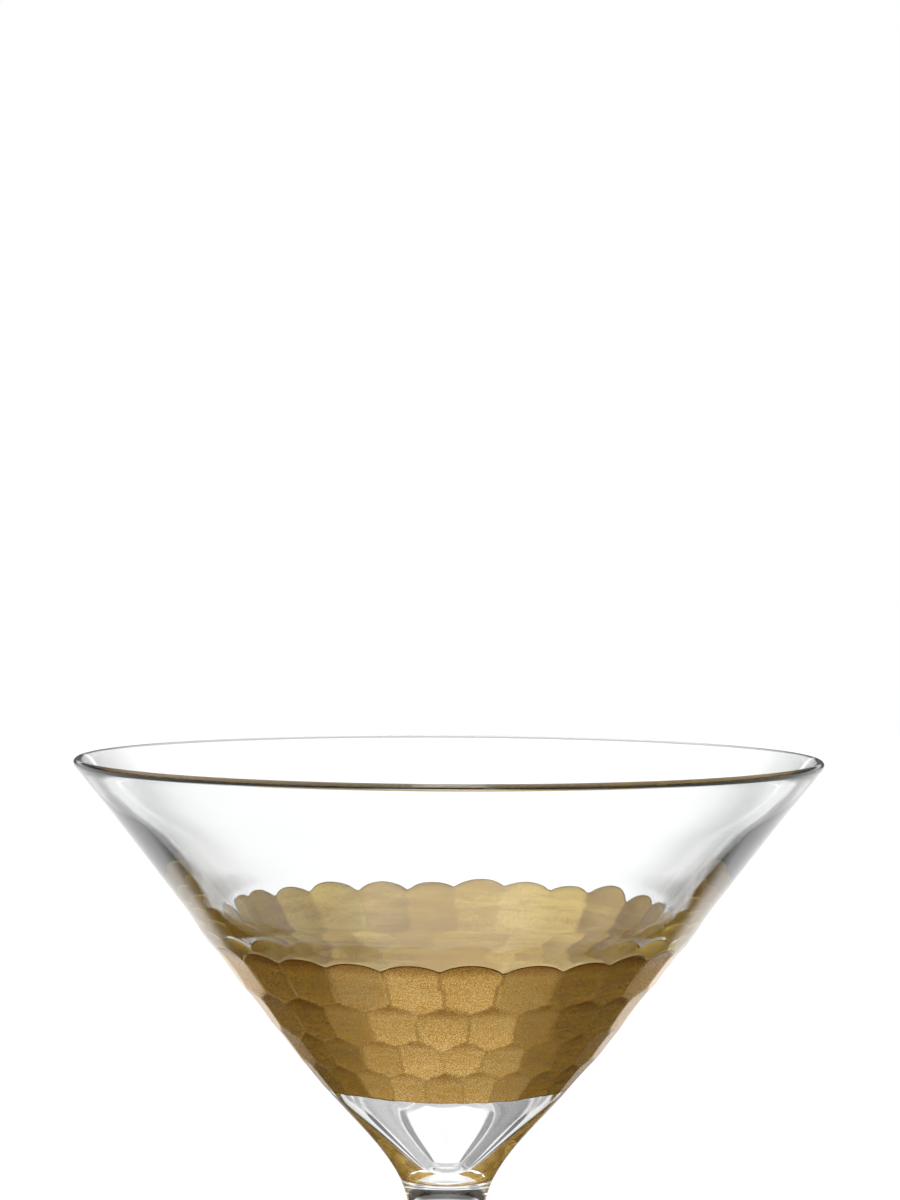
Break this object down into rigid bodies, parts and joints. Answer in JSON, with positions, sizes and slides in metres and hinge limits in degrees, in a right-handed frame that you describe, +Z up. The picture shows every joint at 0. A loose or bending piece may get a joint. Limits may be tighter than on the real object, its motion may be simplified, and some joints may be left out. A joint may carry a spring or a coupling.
{
  "type": "martini glass",
  "caption": "Stemmed cocktail glass with a thick clear V-shaped bowl, a band of gilded hexagonal facets around its lower half, a drawn stem and a round foot.",
  "frame": {"origin": "centre of the foot's base, on the surface the glass stands on", "axes": "+Z up along the glass's axis of revolution"},
  "size_m": [0.1142, 0.1142, 0.1715],
  "materials": {
    "clear_glass": "polished",
    "gold": "brushed gold leaf"
  },
  "bodies": {
    "root": {"bowl": "clear_glass", "gilding": "gold", "stem": "clear_glass", "foot": "clear_glass"}
  },
  "joints": []
}
